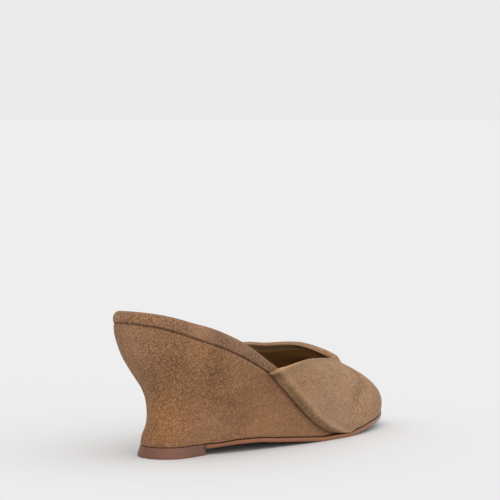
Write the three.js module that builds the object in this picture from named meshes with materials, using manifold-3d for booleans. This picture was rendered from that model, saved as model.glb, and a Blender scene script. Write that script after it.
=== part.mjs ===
import * as THREE from 'three';
import Module from 'manifold-3d';
import { mergeVertices } from 'three/addons/utils/BufferGeometryUtils.js';

// A closed-toe wedge mule for the right foot, in millimetres.
// While it is built, +Y runs from the back of the heel to the toe, +X is the outer side,
// x = 0 is the middle of the heel, and z = 0 is the ground. At the end the group is moved so
// that its origin is the middle of the bottom of its box.

// Driving dimensions
const SHOE_LENGTH = 241;
const BALL_WIDTH = 76;
const SEAT_WIDTH = 59;
const HEEL_HEIGHT = 94;
const INSTEP_HEIGHT = 61;
const TOE_HEIGHT = 30;
const TOE_SPRING = 9;
const SOLE_THICKNESS = 2.8;
const FOREPART_PADDING = 5;
const RIM_THICKNESS = 10.8;
const RIM_OVERHANG = 0.3;
const SEAM_DEPTH = 1.4;
const DISH_DEPTH = 2.2;
const SOCK_THICKNESS = 1.2;
const SOCK_MARGIN = 5.5;
const LIFT_THICKNESS = 7.2;
const LIFT_WIDTH = 38;
const LIFT_LENGTH = 35;
const LIFT_SETBACK = 18.6;
const LIFT_FLARE = 2.2;
const HEEL_SCOOP = 12.2;
const SIDE_SCOOP = 3.6;
const UPPER_WALL = 2.6;
const TOPLINE_ROLL = 0.9;
const POINT_ROLL = 3;
const FEATHER_INSET = 0.6;
const FIT_GAP = 0.3;

// Values that follow from them
const TREAD_HEIGHT = SOLE_THICKNESS + FIT_GAP + FOREPART_PADDING;
const TOE_SWING = -0.04 * BALL_WIDTH;
const SEAT_ARC = 0.5 * SEAT_WIDTH;
const LIFT_FRONT = LIFT_SETBACK + LIFT_LENGTH - LIFT_FLARE;
const WEDGE_FRONT = 0.72 * SHOE_LENGTH;
const FOOTBED_TIP = SHOE_LENGTH - UPPER_WALL - 4 * FIT_GAP;

// Plan of the sole, half widths on the outer and the inner side of the heel's middle line
const solePlan = [
  { y: LIFT_FRONT, outer: 0.512 * LIFT_WIDTH, inner: 0.512 * LIFT_WIDTH },
  { y: 0.29 * SHOE_LENGTH, outer: 0.34 * BALL_WIDTH, inner: 0.285 * BALL_WIDTH },
  { y: 0.375 * SHOE_LENGTH, outer: 0.396 * BALL_WIDTH, inner: 0.31 * BALL_WIDTH },
  { y: 0.5 * SHOE_LENGTH, outer: 0.454 * BALL_WIDTH, inner: 0.385 * BALL_WIDTH },
  { y: 0.6 * SHOE_LENGTH, outer: 0.478 * BALL_WIDTH, inner: 0.462 * BALL_WIDTH },
  { y: 0.7 * SHOE_LENGTH, outer: 0.476 * BALL_WIDTH, inner: 0.505 * BALL_WIDTH },
  { y: SHOE_LENGTH, outer: 0.44 * BALL_WIDTH, inner: 0.49 * BALL_WIDTH },
];

// Plan of the padded footbed
const footbedPlan = [
  { y: SEAT_ARC, outer: 0.5 * SEAT_WIDTH, inner: 0.5 * SEAT_WIDTH },
  { y: 0.25 * SHOE_LENGTH, outer: 0.508 * SEAT_WIDTH, inner: 0.462 * SEAT_WIDTH },
  { y: 0.375 * SHOE_LENGTH, outer: 0.407 * BALL_WIDTH, inner: 0.342 * BALL_WIDTH },
  { y: 0.5 * SHOE_LENGTH, outer: 0.446 * BALL_WIDTH, inner: 0.375 * BALL_WIDTH },
  { y: 0.6 * SHOE_LENGTH, outer: 0.436 * BALL_WIDTH, inner: 0.42 * BALL_WIDTH },
  { y: 0.7 * SHOE_LENGTH, outer: 0.43 * BALL_WIDTH, inner: 0.458 * BALL_WIDTH },
  { y: SHOE_LENGTH, outer: 0.39 * BALL_WIDTH, inner: 0.44 * BALL_WIDTH },
];

// Side view of the footbed: the height of its rim as a share of the heel's rise above the
// tread, its share of the toe spring, and the depth of its rim
const footbedSlope = [
  { y: 0, rise: 1, spring: 0, depth: 0.7 * RIM_THICKNESS },
  { y: 0.03 * SHOE_LENGTH, rise: 0.99, spring: 0, depth: 0.78 * RIM_THICKNESS },
  { y: 0.07 * SHOE_LENGTH, rise: 0.962, spring: 0, depth: 0.87 * RIM_THICKNESS },
  { y: 0.125 * SHOE_LENGTH, rise: 0.916, spring: 0, depth: 0.92 * RIM_THICKNESS },
  { y: 0.2 * SHOE_LENGTH, rise: 0.86, spring: 0, depth: 0.99 * RIM_THICKNESS },
  { y: 0.27 * SHOE_LENGTH, rise: 0.79, spring: 0, depth: RIM_THICKNESS },
  { y: 0.34 * SHOE_LENGTH, rise: 0.7, spring: 0, depth: 0.97 * RIM_THICKNESS },
  { y: 0.42 * SHOE_LENGTH, rise: 0.556, spring: 0, depth: 0.81 * RIM_THICKNESS },
  { y: 0.5 * SHOE_LENGTH, rise: 0.4, spring: 0, depth: 0.69 * RIM_THICKNESS },
  { y: 0.5625 * SHOE_LENGTH, rise: 0.272, spring: 0, depth: 0.58 * RIM_THICKNESS },
  { y: 0.625 * SHOE_LENGTH, rise: 0.157, spring: 0, depth: 0.52 * RIM_THICKNESS },
  { y: 0.68 * SHOE_LENGTH, rise: 0.072, spring: 0, depth: 0.5 * RIM_THICKNESS },
  { y: 0.74 * SHOE_LENGTH, rise: 0.016, spring: 0.08, depth: 0.5 * RIM_THICKNESS },
  { y: 0.8 * SHOE_LENGTH, rise: 0, spring: 0.3, depth: 0.5 * RIM_THICKNESS },
  { y: 0.9 * SHOE_LENGTH, rise: 0, spring: 0.58, depth: 0.5 * RIM_THICKNESS },
  { y: SHOE_LENGTH, rise: 0, spring: 1, depth: 0.5 * RIM_THICKNESS },
];

// Side view of the sole: the height of its underside, as a share of what the lift leaves under
// the waist and of the toe spring. Both shares are nothing along the tread, which lies flat.
const soleSlope = [
  { y: LIFT_FRONT, waist: 0.9, spring: 0 },
  { y: 0.31 * SHOE_LENGTH, waist: 1.2, spring: 0 },
  { y: 0.37 * SHOE_LENGTH, waist: 1.15, spring: 0 },
  { y: 0.43 * SHOE_LENGTH, waist: 0.85, spring: 0 },
  { y: 0.5 * SHOE_LENGTH, waist: 0.54, spring: 0 },
  { y: 0.57 * SHOE_LENGTH, waist: 0.2, spring: 0 },
  { y: 0.62 * SHOE_LENGTH, waist: 0, spring: 0 },
  { y: 0.72 * SHOE_LENGTH, waist: 0, spring: 0 },
  { y: 0.77 * SHOE_LENGTH, waist: 0, spring: 0.15 },
  { y: 0.82 * SHOE_LENGTH, waist: 0, spring: 0.35 },
  { y: 0.88 * SHOE_LENGTH, waist: 0, spring: 0.5 },
  { y: 0.94 * SHOE_LENGTH, waist: 0, spring: 0.68 },
  { y: SHOE_LENGTH, waist: 0, spring: 1 },
];

// The vamp's ribs, from the edge of the sole up to the topline, in order from the outer rear
// edge round the toe to the inner rear edge. Each rib is a curve with two handles: foot is its
// place along the sole as a share of the shoe's length, top its place on the topline, rise its
// handle at the sole and fall its handle at the topline, both measured from their own ends.
// In top, rise and fall the shares are across, along and up, of the three sizes below each name.
const ribSizes = {
  top: [BALL_WIDTH, SHOE_LENGTH, INSTEP_HEIGHT],
  rise: [BALL_WIDTH, SHOE_LENGTH, TOE_HEIGHT],
  fall: [BALL_WIDTH, SHOE_LENGTH, INSTEP_HEIGHT],
};
const vampRibs = [
  {
    side: 1, foot: 0.69, top: [0.447, 0.396, 0.82],
    rise: [0.036, -0.12, 0.04], fall: [0.053, 0.09, -0.33],
  },
  {
    side: 1, foot: 0.735, top: [0.44, 0.442, 0.859],
    rise: [0.05, -0.075, 0.2], fall: [0.085, 0.11, -0.36],
  },
  {
    side: 1, foot: 0.79, top: [0.395, 0.492, 0.867],
    rise: [0.06, -0.05, 0.4], fall: [0.14, 0.115, -0.27],
  },
  {
    side: 1, foot: 0.86, top: [0.3, 0.565, 0.867],
    rise: [0.07, -0.005, 0.53], fall: [0.18, 0.12, -0.16],
  },
  {
    side: 1, foot: 0.93, top: [0.17, 0.66, 0.852],
    rise: [0.07, 0.018, 0.53], fall: [0.17, 0.125, -0.11],
  },
  {
    side: 0, foot: 1, top: [-0.03, 0.808, 0.803],
    rise: [0, 0.028, 0.44], fall: [0, 0.122, -0.14],
  },
  {
    side: -1, foot: 0.93, top: [-0.16, 0.728, 0.975],
    rise: [0.055, 0.015, 0.48], fall: [0.17, 0.12, -0.33],
  },
  {
    side: -1, foot: 0.86, top: [-0.3, 0.63, 1.005],
    rise: [0.06, -0.01, 0.52], fall: [0.17, 0.125, -0.36],
  },
  {
    side: -1, foot: 0.79, top: [-0.37, 0.565, 1.008],
    rise: [0.05, -0.05, 0.44], fall: [0.12, 0.115, -0.4],
  },
  {
    side: -1, foot: 0.735, top: [-0.39, 0.477, 0.952],
    rise: [0.02, -0.075, 0.2], fall: [0.055, 0.1, -0.4],
  },
  {
    side: -1, foot: 0.69, top: [-0.384, 0.378, 0.825],
    rise: [-0.012, -0.12, 0.04], fall: [0.018, 0.09, -0.33],
  },
];

// Mesh density
const ARC_STEPS = 7;
const SIDE_STEPS = 17;
const VAMP_STEPS = 44;
const RIB_STEPS = 13;

function mix(a, b, t) {
  return a + (b - a) * t;
}

// A smooth curve between two values with given slopes at its ends
function hermite(start, end, startSlope, endSlope, t) {
  const first = start * (2 * t ** 3 - 3 * t ** 2 + 1) + startSlope * (t ** 3 - 2 * t ** 2 + t);
  return first + end * (3 * t ** 2 - 2 * t ** 3) + endSlope * (t ** 3 - t ** 2);
}

// Reads a column of a table along a smooth curve through its rows, at a value of its key.
function readTable(rows, column, at, key = 'y') {
  if (at <= rows[0][key]) return rows[0][column];
  const last = rows.length - 1;
  if (at >= rows[last][key]) return rows[last][column];
  const gapAfter = (i) => rows[i + 1][key] - rows[i][key];
  const slopeBetween = (i) => (rows[i + 1][column] - rows[i][column]) / gapAfter(i);
  const slopeAt = (i) => {
    if (i === 0) return slopeBetween(0);
    if (i === last) return slopeBetween(last - 1);
    const before = slopeBetween(i - 1);
    const after = slopeBetween(i);
    return before * after <= 0 ? 0 : (2 * before * after) / (before + after);
  };
  const i = rows.findIndex((row, k) => k < last && at < rows[k + 1][key]);
  const span = gapAfter(i);
  const t = (at - rows[i][key]) / span;
  return hermite(rows[i][column], rows[i + 1][column], slopeAt(i) * span, slopeAt(i + 1) * span, t);
}

function crestHeight(y) {
  const rise = readTable(footbedSlope, 'rise', y) * (HEEL_HEIGHT - TREAD_HEIGHT);
  return TREAD_HEIGHT + rise + readTable(footbedSlope, 'spring', y) * TOE_SPRING;
}

function soleUnderside(y) {
  const waist = readTable(soleSlope, 'waist', y) * (LIFT_THICKNESS - SOLE_THICKNESS);
  return waist + readTable(soleSlope, 'spring', y) * TOE_SPRING;
}

function soleTop(y) {
  const top = soleUnderside(y) + SOLE_THICKNESS;
  const seat = LIFT_THICKNESS - FIT_GAP;
  const ease = THREE.MathUtils.smoothstep(y, LIFT_FRONT, 0.31 * SHOE_LENGTH);
  return mix(seat, top, ease);
}

function footbedUnderside(y) {
  const seam = crestHeight(y) - readTable(footbedSlope, 'depth', y);
  return Math.max(seam, soleTop(y) + FIT_GAP);
}

// The middle line of the forepart, which swings to the inner side at the toe
function axisX(y) {
  return TOE_SWING * THREE.MathUtils.smoothstep(y, 0.5 * SHOE_LENGTH, SHOE_LENGTH);
}

// Half width of a plan at y, rounded off towards the tip
function planX(plan, side, y, tip) {
  const roundFrom = 0.68 * SHOE_LENGTH;
  const t = THREE.MathUtils.clamp((y - roundFrom) / (tip - roundFrom), 0, 1);
  const cap = Math.sqrt(Math.max(0, 1 - t ** 2.08));
  const column = side > 0 ? 'outer' : 'inner';
  const width = readTable(plan, column, y) + side * -axisX(y);
  return axisX(y) + side * width * cap;
}

// Places from the heel's middle line to the tip along one side of a rounded plan
function sideStations(plan, side, backY, arcDepth, tip) {
  const points = [];
  const arcEnd = backY + arcDepth;
  for (let k = 0; k < ARC_STEPS; k++) {
    const angle = (k / ARC_STEPS) * Math.PI / 2;
    const x = side * readTable(plan, side > 0 ? 'outer' : 'inner', arcEnd) * Math.sin(angle);
    points.push(new THREE.Vector2(x, arcEnd - arcDepth * Math.cos(angle)));
  }
  const capStart = 0.8 * SHOE_LENGTH;
  for (let k = 0; k < SIDE_STEPS; k++) {
    const y = mix(arcEnd, capStart, k / SIDE_STEPS);
    points.push(new THREE.Vector2(planX(plan, side, y, tip), y));
  }
  for (let k = 0; k <= ARC_STEPS; k++) {
    const angle = (k / ARC_STEPS) * Math.PI / 2;
    const y = capStart + (tip - capStart) * Math.sin(angle);
    points.push(new THREE.Vector2(planX(plan, side, y, tip), y));
  }
  return points;
}

// Inward directions in plan at each place of a ring
function inwardNormals(ring) {
  return ring.map((point, i) => {
    const before = ring[(i + ring.length - 1) % ring.length];
    const after = ring[(i + 1) % ring.length];
    return new THREE.Vector2(before.y - after.y, after.x - before.x).normalize();
  });
}

// A closed solid from ribs that stand side by side around a ring. All ribs have as many points,
// and each starts and ends on the middle line, where the ribs of the two sides meet.
function solidFromRibs(ribs) {
  const positions = [];
  const push = (a, b, c) => {
    if (a.distanceTo(b) < 1e-6 || b.distanceTo(c) < 1e-6 || a.distanceTo(c) < 1e-6) return;
    positions.push(a.x, a.y, a.z, b.x, b.y, b.z, c.x, c.y, c.z);
  };
  ribs.forEach((rib, i) => {
    const next = ribs[(i + 1) % ribs.length];
    for (let j = 0; j < rib.length - 1; j++) {
      if (rib[j].distanceTo(next[j + 1]) < next[j].distanceTo(rib[j + 1])) {
        push(rib[j], next[j], next[j + 1]);
        push(rib[j], next[j + 1], rib[j + 1]);
      } else {
        push(rib[j], next[j], rib[j + 1]);
        push(next[j], next[j + 1], rib[j + 1]);
      }
    }
  });
  const geometry = new THREE.BufferGeometry();
  geometry.setAttribute('position', new THREE.Float32BufferAttribute(positions, 3));
  return mergeVertices(geometry, 1e-4);
}

// The middle line's place for a place of a ring, held between the ends of the line
function spineY(y, from, to) {
  return THREE.MathUtils.clamp(y, from, to);
}

// Outsole: from the front of the heel lift to the toe
function makeOutsole() {
  const start = LIFT_FRONT + FIT_GAP;
  const side = (sign) => {
    const points = [];
    const capStart = 0.8 * SHOE_LENGTH;
    for (let k = 0; k < SIDE_STEPS + 3; k++) {
      const y = mix(start, capStart, k / (SIDE_STEPS + 3));
      points.push(new THREE.Vector2(planX(solePlan, sign, y, SHOE_LENGTH), y));
    }
    for (let k = 0; k <= ARC_STEPS; k++) {
      const y = capStart + (SHOE_LENGTH - capStart) * Math.sin((k / ARC_STEPS) * Math.PI / 2);
      points.push(new THREE.Vector2(planX(solePlan, sign, y, SHOE_LENGTH), y));
    }
    return points;
  };
  const outer = side(1);
  const inner = side(-1);
  const ring = outer.concat(inner.slice(0, -1).reverse());
  const spineEnd = 0.94 * SHOE_LENGTH;
  const ribs = ring.map((point) => {
    const y = spineY(point.y, start, spineEnd);
    const middle = new THREE.Vector2(axisX(y), y);
    const at = (share, height) => {
      const place = middle.clone().lerp(point, share);
      return new THREE.Vector3(place.x, place.y, height(place.y));
    };
    return [
      at(0, soleUnderside), at(0.97, soleUnderside), at(1, (v) => soleUnderside(v) + 0.2 * SOLE_THICKNESS),
      at(1, (v) => soleTop(v) - 0.1 * SOLE_THICKNESS), at(0.99, soleTop), at(0, soleTop),
    ];
  });
  return solidFromRibs(ribs);
}

// Plan of the lift and of the wedge's foot, from the back to y
function heelFootPlan(side, angleShare, flare) {
  const angle = angleShare * Math.PI / 2;
  const halfWidth = 0.5 * LIFT_WIDTH - flare * 0.5;
  const depth = 0.5 * LIFT_WIDTH;
  const back = LIFT_SETBACK + flare - LIFT_FLARE;
  return new THREE.Vector2(side * halfWidth * Math.sin(angle), back + depth * (1 - Math.cos(angle)));
}

// Heel lift: flares a little down to the ground
function makeHeelLift() {
  const sidePoints = (side, flare) => {
    const points = [];
    for (let k = 0; k <= ARC_STEPS; k++) points.push(heelFootPlan(side, k / ARC_STEPS, flare));
    points.push(new THREE.Vector2(points[ARC_STEPS].x, LIFT_FRONT));
    return points;
  };
  const ringAt = (flare) => {
    const outer = sidePoints(1, flare);
    return outer.concat(sidePoints(-1, flare).slice(1).reverse());
  };
  const wide = ringAt(0);
  const narrow = ringAt(LIFT_FLARE);
  const middle = new THREE.Vector2(0, 0.5 * (LIFT_SETBACK + LIFT_FRONT));
  const edge = 0.12 * LIFT_THICKNESS;
  const top = LIFT_THICKNESS - FIT_GAP;
  const ribs = wide.map((point, i) => {
    const inset = point.clone().lerp(middle, 0.03);
    const at = (place, z) => new THREE.Vector3(place.x, place.y, z);
    return [at(middle, 0), at(inset, 0), at(point, edge), at(narrow[i], top), at(middle, top)];
  });
  return solidFromRibs(ribs);
}

// Stations shared by the wedge and the footbed, so that their faces lie side by side
function wedgeStations(side) {
  const top = sideStations(footbedPlan, side, 0, SEAT_ARC, SHOE_LENGTH);
  return top.filter((point) => point.y < WEDGE_FRONT);
}

// The height that the wedge's foot keeps above the lift and the sole
function footHeight(y) {
  return soleTop(Math.max(y, LIFT_FRONT)) + FIT_GAP;
}

// A place of the wedge's foot: round the lift at the back, along the sole in front of it
function wedgeFoot(side, step, y) {
  const lift = heelFootPlan(side, Math.min(step, ARC_STEPS) / ARC_STEPS, LIFT_FLARE);
  if (step <= ARC_STEPS) return lift;
  const footY = mix(lift.y, WEDGE_FRONT, (y - SEAT_ARC) / (WEDGE_FRONT - SEAT_ARC));
  const soleEdge = planX(solePlan, side, Math.max(footY, LIFT_FRONT), SHOE_LENGTH) - side * FEATHER_INSET;
  const ease = THREE.MathUtils.smoothstep(footY, lift.y, LIFT_FRONT + 0.04 * SHOE_LENGTH);
  return new THREE.Vector2(mix(lift.x, soleEdge, ease), footY);
}

// How deep the wedge's side is hollowed at y: most at the back, nothing under the ball
function scoopAt(y) {
  const turn = THREE.MathUtils.smoothstep(y, 0.15 * SEAT_ARC, 1.25 * SEAT_ARC);
  const fade = 1 - THREE.MathUtils.smoothstep(y, SEAT_ARC, 0.46 * SHOE_LENGTH);
  return mix(HEEL_SCOOP, SIDE_SCOOP * fade, turn);
}

// The hollow of the wedge's side from its foot (up 0) to its top (up 1), as a share of the
// scoop there. Under the rim the side swells out a little instead.
const hollowSection = [
  { up: 0, depth: 0 },
  { up: 0.07, depth: 0.17 },
  { up: 0.14, depth: 0.46 },
  { up: 0.2, depth: 0.67 },
  { up: 0.27, depth: 0.86 },
  { up: 0.34, depth: 0.97 },
  { up: 0.39, depth: 1 },
  { up: 0.48, depth: 0.82 },
  { up: 0.56, depth: 0.51 },
  { up: 0.64, depth: 0.26 },
  { up: 0.73, depth: 0.06 },
  { up: 0.82, depth: -0.04 },
  { up: 0.91, depth: -0.08 },
  { up: 1, depth: 0 },
];

// Wedge: scooped in at the back, its top under the rim and its foot on the lift and the sole
function makeWedge() {
  const outer = wedgeStations(1);
  const inner = wedgeStations(-1);
  const ring = outer.concat(inner.slice(1).reverse());
  const inward = inwardNormals(ring);
  const last = outer.length - 1;
  const ribs = ring.map((point, i) => {
    const side = i <= last ? 1 : -1;
    const step = i <= last ? i : ring.length - i;
    const normal = step === last ? new THREE.Vector2(-side, 0) : inward[i];
    const foot = wedgeFoot(side, step, point.y);
    const top = point.clone().addScaledVector(normal, RIM_OVERHANG);
    const middleY = spineY(point.y, SEAT_ARC, outer[last].y);
    const footMiddleY = Math.max(foot.y, LIFT_SETBACK + 0.5 * LIFT_WIDTH);
    const scoop = scoopAt(point.y);
    const low = footHeight(foot.y);
    const high = footbedUnderside(top.y) - FIT_GAP;
    const shoulder = 1 - Math.min(0.4, SEAM_DEPTH / (high - low));
    const rib = [];
    for (const share of [0, 0.5]) {
      const y = mix(footMiddleY, foot.y, share);
      rib.push(new THREE.Vector3(foot.x * share, y, footHeight(y)));
    }
    for (const rise of [0, 0.06, 0.14, 0.22, 0.3, 0.38, 0.47, 0.56, 0.65, 0.76, 0.88, 1]) {
      const share = rise * shoulder;
      const hollow = scoop * readTable(hollowSection, 'depth', share, 'up');
      const place = foot.clone().lerp(top, share).addScaledVector(normal, hollow);
      rib.push(new THREE.Vector3(place.x, place.y, mix(low, high, share)));
    }
    const seam = point.clone().addScaledVector(normal, SEAM_DEPTH);
    for (const share of [0, 0.35, 0.7, 1]) {
      const y = mix(seam.y, middleY, share);
      rib.push(new THREE.Vector3(seam.x * (1 - share), y, footbedUnderside(y) - FIT_GAP));
    }
    return rib;
  });
  return solidFromRibs(ribs);
}

// Places round the footbed's edge, each with its inward direction and its middle line's place
function footbedOutline() {
  const outer = sideStations(footbedPlan, 1, 0, SEAT_ARC, FOOTBED_TIP);
  const inner = sideStations(footbedPlan, -1, 0, SEAT_ARC, FOOTBED_TIP);
  const ring = outer.concat(inner.slice(1, -1).reverse());
  const inward = inwardNormals(ring);
  return ring.map((point, i) => {
    const middleY = spineY(point.y, SEAT_ARC, 0.9 * SHOE_LENGTH);
    const middle = new THREE.Vector2(axisX(middleY), middleY);
    const inset = (distance) => point.clone().addScaledVector(inward[i], distance);
    return { point, middle, inset };
  });
}

// Height of the dished top, from its edge (0) to the middle line (1)
function dishHeight(y, share) {
  return crestHeight(y) - DISH_DEPTH * mix(0.5, 1, Math.sin(share * Math.PI / 2));
}

// The rim's section from the seam up and into the dish: how far it stands in from the edge,
// its share of the rim's depth, and its share of the dish's depth
const rimSection = [
  { inset: SEAM_DEPTH, rise: 0, sink: 0 },
  { inset: 0.25 * SEAM_DEPTH, rise: 0.12, sink: 0 },
  { inset: 0, rise: 0.36, sink: 0 },
  { inset: 0.06 * SOCK_MARGIN, rise: 0.62, sink: 0 },
  { inset: 0.26 * SOCK_MARGIN, rise: 0.83, sink: 0 },
  { inset: 0.52 * SOCK_MARGIN, rise: 0.96, sink: 0 },
  { inset: 0.78 * SOCK_MARGIN, rise: 1, sink: 0.06 },
  { inset: SOCK_MARGIN, rise: 1, sink: 0.5 },
];

// Footbed: a padded board with a round-edged rim and a dished top
function makeFootbed() {
  const ribs = footbedOutline().map(({ middle, inset }) => {
    const rib = [];
    for (const share of [1, 0.7, 0.35]) {
      const place = inset(SEAM_DEPTH).lerp(middle, share);
      rib.push(new THREE.Vector3(place.x, place.y, footbedUnderside(place.y)));
    }
    for (const row of rimSection) {
      const place = inset(row.inset);
      const height = mix(footbedUnderside(place.y), crestHeight(place.y), row.rise);
      rib.push(new THREE.Vector3(place.x, place.y, height - row.sink * DISH_DEPTH));
    }
    for (const share of [0.4, 0.7, 1]) {
      const place = inset(SOCK_MARGIN).lerp(middle, share);
      rib.push(new THREE.Vector3(place.x, place.y, dishHeight(place.y, share)));
    }
    return rib;
  });
  return solidFromRibs(ribs);
}

// The sock's section from the middle line under it, round its edge and back over it: its share
// of the way in from the edge of the dish, and its share of the sock's thickness
const sockSection = [
  { share: 1, lift: 0 },
  { share: 0.7, lift: 0 },
  { share: 0.4, lift: 0 },
  { share: 0.04, lift: 0 },
  { share: 0.02, lift: 0.6 },
  { share: 0.06, lift: 1 },
  { share: 0.4, lift: 1 },
  { share: 0.7, lift: 1 },
  { share: 1, lift: 1 },
];

// Insole: a thin leather sock in the dish
function makeInsole() {
  const ribs = footbedOutline().map(({ middle, inset }) => sockSection.map(({ share, lift }) => {
    const place = inset(SOCK_MARGIN).lerp(middle, share);
    const height = dishHeight(place.y, share) + FIT_GAP + lift * SOCK_THICKNESS;
    return new THREE.Vector3(place.x, place.y, height);
  }));
  return solidFromRibs(ribs);
}

// A smooth curve through evenly spaced values
function smoothThrough(values, at) {
  const last = values.length - 1;
  const i = THREE.MathUtils.clamp(Math.floor(at), 0, last - 1);
  const t = at - i;
  const value = (k) => {
    if (k < 0) return 2 * values[0] - values[1];
    if (k > last) return 2 * values[last] - values[last - 1];
    return values[k];
  };
  const slope = (k) => 0.5 * (value(k + 1) - value(k - 1));
  return hermite(value(i), value(i + 1), slope(i), slope(i + 1), t);
}

// A value of the vamp's ribs at a share of the way round
function alongRibs(read, round) {
  return smoothThrough(vampRibs.map(read), round * (vampRibs.length - 1));
}

// The foot of a rib on the edge of the sole: it turns round the toe as an arc does
function vampFoot(round) {
  const tip = SHOE_LENGTH - FEATHER_INSET;
  const place = alongRibs((rib) => (rib.side < 0 ? 2 - rib.foot : rib.foot), round);
  const side = place > 1 ? -1 : 1;
  const back = vampRibs[0].foot;
  const turn = Math.min(1, (1 - Math.abs(1 - place) - back) / (1 - back));
  const y = mix(back * SHOE_LENGTH, tip, Math.sin(turn * Math.PI / 2));
  const x = planX(solePlan, side, y, tip);
  const inset = FEATHER_INSET * Math.cos(turn * Math.PI / 2);
  return new THREE.Vector3(x - side * inset, y, soleTop(y) + FIT_GAP);
}

// A point of the vamp's outer face: round is the way round the toe, up the way up a rib
function vampPoint(round, up) {
  const foot = vampFoot(round);
  const read = (key, axis) => {
    const outward = (rib) => (axis === 0 && key !== 'top' ? rib.side : 1);
    return alongRibs((rib) => rib[key][axis] * ribSizes[key][axis] * outward(rib), round);
  };
  const vector = (key) => new THREE.Vector3(read(key, 0), read(key, 1), read(key, 2));
  const top = vector('top');
  const rise = vector('rise').add(foot);
  const fall = vector('fall').add(top);
  return new THREE.CubicBezierCurve3(foot, rise, fall, top).getPoint(up);
}

function vampNormal(round, up) {
  const step = 1e-3;
  const along = vampPoint(round + step, up).sub(vampPoint(round - step, up));
  const across = vampPoint(round, up + step).sub(vampPoint(round, up - step));
  return across.cross(along).negate().normalize();
}

// Evenly spaced shares from 0 to 1, with a margin past the ends where one is given
function shares(steps, before, after) {
  const inside = Array.from({ length: steps + 1 }, (unused, k) => k / steps);
  return [...(before > 0 ? [-before] : []), ...inside, ...(after > 0 ? [1 + after] : [])];
}

// How far the topline swells: most beside its point on the inner side of the toe
function toplineSwell(round, up) {
  const fromPoint = (round - 0.54) / 0.06;
  const roll = TOPLINE_ROLL + POINT_ROLL * Math.exp(-(fromPoint ** 2));
  return up > 0.8 ? roll * Math.sin(Math.PI * Math.min(1, 5 * (1 - up))) : 0;
}

// The vamp's shell between two depths below its outer face, with or without its swelling. A
// margin makes it reach past its own edges, by that share round and up and by the wall below.
function vampShell(outerDepth, innerDepth, swells, margin) {
  const rounds = shares(VAMP_STEPS, margin, margin);
  const ups = shares(RIB_STEPS, 0, margin);
  const hem = margin > 0 ? UPPER_WALL : 0;
  const grid = rounds.map((round) => {
    const outside = [];
    const inside = [];
    for (const up of ups) {
      const point = vampPoint(round, up);
      const normal = vampNormal(round, up);
      const swell = swells ? toplineSwell(round, up) : 0;
      outside.push(point.clone().addScaledVector(normal, swell - outerDepth));
      inside.push(point.clone().addScaledVector(normal, -innerDepth));
    }
    outside[0].z = vampPoint(round, 0).z - hem;
    inside[0].z = outside[0].z;
    return outside.concat(inside.reverse());
  });
  const positions = [];
  const push = (a, b, c) => positions.push(a.x, a.y, a.z, b.x, b.y, b.z, c.x, c.y, c.z);
  const around = grid[0].length;
  const last = grid.length - 1;
  for (let i = 0; i < last; i++) {
    for (let j = 0; j < around; j++) {
      const k = (j + 1) % around;
      push(grid[i][j], grid[i + 1][j], grid[i + 1][k]);
      push(grid[i][j], grid[i + 1][k], grid[i][k]);
    }
  }
  for (let j = 0; j < ups.length - 1; j++) {
    const k = around - 1 - j;
    push(grid[0][j], grid[0][j + 1], grid[0][k - 1]);
    push(grid[0][j], grid[0][k - 1], grid[0][k]);
    push(grid[last][j + 1], grid[last][j], grid[last][k]);
    push(grid[last][j + 1], grid[last][k], grid[last][k - 1]);
  }
  const geometry = new THREE.BufferGeometry();
  geometry.setAttribute('position', new THREE.Float32BufferAttribute(positions, 3));
  return mergeVertices(geometry, 1e-4);
}

const wasm = await Module();
wasm.setup();

function toSolid(geometry) {
  return new wasm.Manifold(new wasm.Mesh({
    numProp: 3,
    vertProperties: geometry.attributes.position.array,
    triVerts: geometry.index.array,
  }));
}

function toGeometry(solid) {
  const mesh = solid.getMesh();
  const geometry = new THREE.BufferGeometry();
  geometry.setAttribute('position', new THREE.BufferAttribute(mesh.vertProperties, 3));
  geometry.setIndex(new THREE.BufferAttribute(mesh.triVerts, 1));
  return geometry;
}

// Cuts the room that the vamp takes out of a piece inside it, and keeps the piece's largest part.
function clearOfVamp(geometry, room) {
  const parts = toSolid(geometry).subtract(room).decompose();
  parts.sort((a, b) => b.volume() - a.volume());
  return toGeometry(parts[0]);
}

function makeMesh(name, geometry, color, roughness) {
  const facets = geometry.toNonIndexed();
  facets.computeVertexNormals();
  const mesh = new THREE.Mesh(facets, new THREE.MeshStandardMaterial({ color, roughness, metalness: 0 }));
  mesh.name = name;
  return mesh;
}

const vampRoom = toSolid(vampShell(-2 * UPPER_WALL, UPPER_WALL + FIT_GAP, false, 0.01));

const shoe = new THREE.Group();
shoe.add(makeMesh('outsole', makeOutsole(), 0x9a6844, 0.5));
shoe.add(makeMesh('heel_lift', makeHeelLift(), 0x7d584a, 0.6));
shoe.add(makeMesh('wedge', clearOfVamp(makeWedge(), vampRoom), 0x896650, 0.9));
shoe.add(makeMesh('footbed', clearOfVamp(makeFootbed(), vampRoom), 0x8c6c54, 0.9));
shoe.add(makeMesh('insole', clearOfVamp(makeInsole(), vampRoom), 0x6a4a30, 0.6));
shoe.add(makeMesh('vamp', vampShell(0, UPPER_WALL, true, 0), 0x9b7a5f, 0.9));

const box = new THREE.Box3().setFromObject(shoe);
const centre = box.getCenter(new THREE.Vector3());
shoe.position.set(-centre.x, -centre.y, -box.min.z);

export default shoe;
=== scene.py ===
"""A closed-toe wedge mule for the right foot: suede, leather and rubber around its frame."""

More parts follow.
